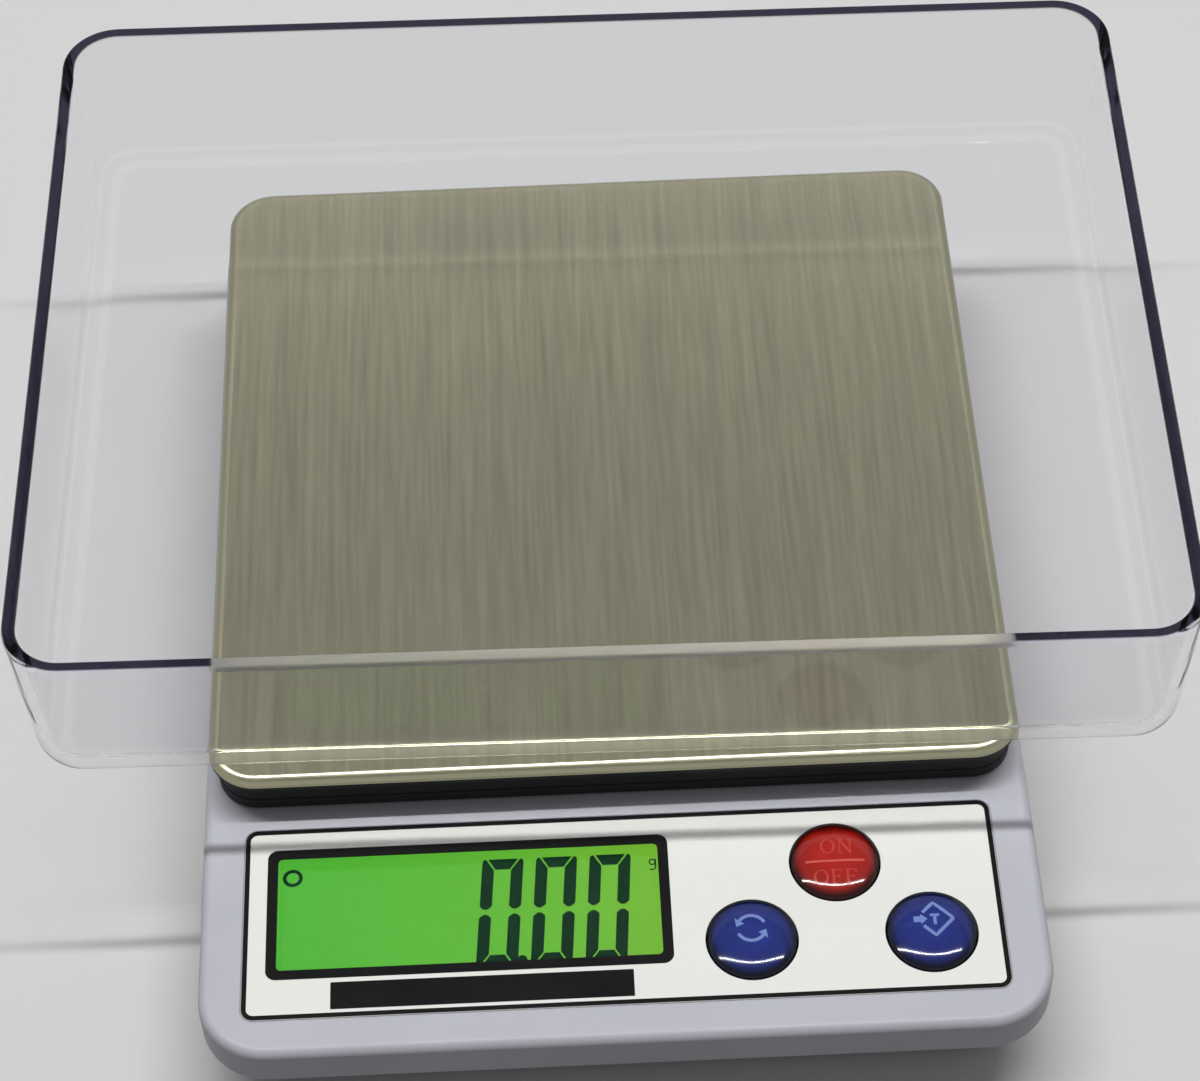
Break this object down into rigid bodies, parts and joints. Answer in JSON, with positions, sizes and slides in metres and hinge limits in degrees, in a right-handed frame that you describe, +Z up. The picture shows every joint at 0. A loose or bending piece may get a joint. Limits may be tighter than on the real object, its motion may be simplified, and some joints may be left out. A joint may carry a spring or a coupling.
{
  "type": "digital precision scale",
  "caption": "Bench-top digital scale with a stainless platform, a front panel with a backlit display and domed buttons, and a clear loose weighing tray.",
  "frame": {"origin": "Under the middle of the whole object, on the plane that the feet stand on.", "axes": "+Z is up. -Y is the front, where the control panel is. +X is the user's right, on the side of the buttons."},
  "size_m": [0.1686, 0.168, 0.0554],
  "materials": {
    "case_plastic": "fine satin light grey plastic",
    "label_print": "glossy printed film, off-white with a black outline",
    "clear_plastic": "clear polished plastic",
    "lens_clear": "clear window with a black printed edge",
    "lcd_green": "backlit green display glass",
    "light_guide": "milky diffuser",
    "led_body": "small lamp body",
    "board_laminate": "green solder-masked laminate",
    "black_plastic": "moulded black plastic",
    "switch_plastic": "switch housing",
    "white_plastic": "moulded white plastic",
    "zinc_steel": "zinc-plated steel",
    "stainless": "brushed stainless steel with the grain front to back",
    "aluminium": "milled aluminium",
    "foot_rubber": "soft dark rubber",
    "silicone": "white sealing silicone",
    "zebra_rubber": "layered contact rubber",
    "red_gloss": "domed glossy red",
    "blue_gloss": "domed glossy blue",
    "cell_jacket": "plain printed steel jacket",
    "wire_jacket": "soft wire insulation"
  },
  "bodies": {
    "base": {"upper_case": "case_plastic", "lower_case": "case_plastic", "rubber_feet": "foot_rubber", "case_screws": "zinc_steel", "panel_label": "label_print", "lcd_window": "lens_clear", "lcd_glass": "lcd_green", "lcd_backlight": "light_guide", "backlight_leds": "led_body", "lcd_holder": "white_plastic", "zebra_strip": "zebra_rubber", "main_board": "board_laminate", "board_chips": "black_plastic", "board_screws": "zinc_steel", "lead_connector": "white_plastic", "tact_switches": "switch_plastic", "load_cell": "aluminium", "gauge_seal": "silicone", "gauge_leads": "wire_jacket", "beam_shim": "zinc_steel", "beam_screws": "zinc_steel", "battery_cell_front": "cell_jacket", "battery_cell_rear": "cell_jacket", "battery_link": "zinc_steel", "battery_terminals": "zinc_steel", "battery_leads": "wire_jacket"},
    "power_key": {"power_button": "red_gloss", "power_plunger": "white_plastic"},
    "mode_key": {"mode_button": "blue_gloss", "mode_plunger": "white_plastic"},
    "tare_key": {"tare_button": "blue_gloss", "tare_plunger": "white_plastic"},
    "platform": {"platform_support": "black_plastic", "platform_screws": "zinc_steel", "platform_plate": "stainless", "top_spacer": "aluminium"},
    "tray": {"weighing_tray": "clear_plastic"},
    "door": {"battery_door": "case_plastic"}
  },
  "joints": [
    {"name": "power_press", "type": "slide", "parent": "base", "child": "power_key", "axis": [0, 0, -1], "range_m": [0, 0.0005], "stiffness_N_per_m": 400, "springref_m": -0.003},
    {"name": "mode_press", "type": "slide", "parent": "base", "child": "mode_key", "axis": [0, 0, -1], "range_m": [0, 0.0005], "stiffness_N_per_m": 400, "springref_m": -0.003},
    {"name": "tare_press", "type": "slide", "parent": "base", "child": "tare_key", "axis": [0, 0, -1], "range_m": [0, 0.0005], "stiffness_N_per_m": 400, "springref_m": -0.003},
    {"name": "platform_give", "type": "slide", "parent": "base", "child": "platform", "axis": [0, 0, -1], "range_m": [0, 0.00025], "stiffness_N_per_m": 30000, "springref_m": -0.00008},
    {"name": "tray_lift", "type": "slide", "parent": "platform", "child": "tray", "axis": [0, 0, 1], "range_m": [0, 0.08]},
    {"name": "door_slide", "type": "slide", "parent": "base", "child": "door", "axis": [0, 1, 0], "range_m": [0, 0.03]}
  ]
}
